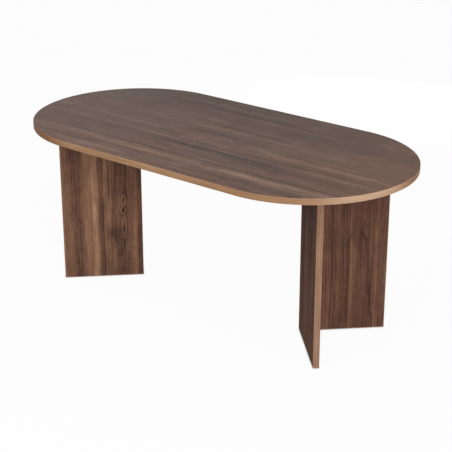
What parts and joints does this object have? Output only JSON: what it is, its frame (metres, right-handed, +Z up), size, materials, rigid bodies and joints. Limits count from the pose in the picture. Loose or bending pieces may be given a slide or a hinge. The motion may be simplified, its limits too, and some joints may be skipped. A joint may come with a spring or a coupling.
{
  "type": "dining table",
  "caption": "Dining table with a flat obround top on V-shaped panel legs; the points of the V legs face each other under the top and their mouths face the table's ends.",
  "frame": {"origin": "on the floor under the centre of the top", "axes": "+X along the table's long axis, +Y across it to the rear, +Z up"},
  "size_m": [1.7996, 0.9, 0.75],
  "materials": {
    "tabletop_laminate": "satin walnut-look laminate, grain along the table",
    "leg_laminate": "satin walnut-look laminate, upright grain",
    "tan_edge_band": "satin tan wood-look plastic band",
    "beech_dowel": "bare beech",
    "zinc_steel": "zinc-plated",
    "brown_cap": "matt brown plastic",
    "black_glide": "matt black plastic"
  },
  "bodies": {
    "root": {"tabletop_board": "tabletop_laminate", "tabletop_edge_band": "tan_edge_band", "tabletop_left_insert_nuts": "zinc_steel", "tabletop_right_insert_nuts": "zinc_steel", "left_leg_front_panel": "leg_laminate", "left_leg_rear_panel": "leg_laminate", "left_leg_front_end_band": "tan_edge_band", "left_leg_rear_end_band": "tan_edge_band", "left_leg_front_foot_band": "tan_edge_band", "left_leg_rear_foot_band": "tan_edge_band", "left_leg_mitre_dowels": "beech_dowel", "left_leg_top_dowels": "beech_dowel", "left_leg_cam_bolts": "zinc_steel", "left_leg_cam_locks": "zinc_steel", "left_leg_cam_caps": "brown_cap", "left_leg_glides": "black_glide", "right_leg_front_panel": "leg_laminate", "right_leg_rear_panel": "leg_laminate", "right_leg_front_end_band": "tan_edge_band", "right_leg_rear_end_band": "tan_edge_band", "right_leg_front_foot_band": "tan_edge_band", "right_leg_rear_foot_band": "tan_edge_band", "right_leg_mitre_dowels": "beech_dowel", "right_leg_top_dowels": "beech_dowel", "right_leg_cam_bolts": "zinc_steel", "right_leg_cam_locks": "zinc_steel", "right_leg_cam_caps": "brown_cap", "right_leg_glides": "black_glide"}
  },
  "joints": []
}
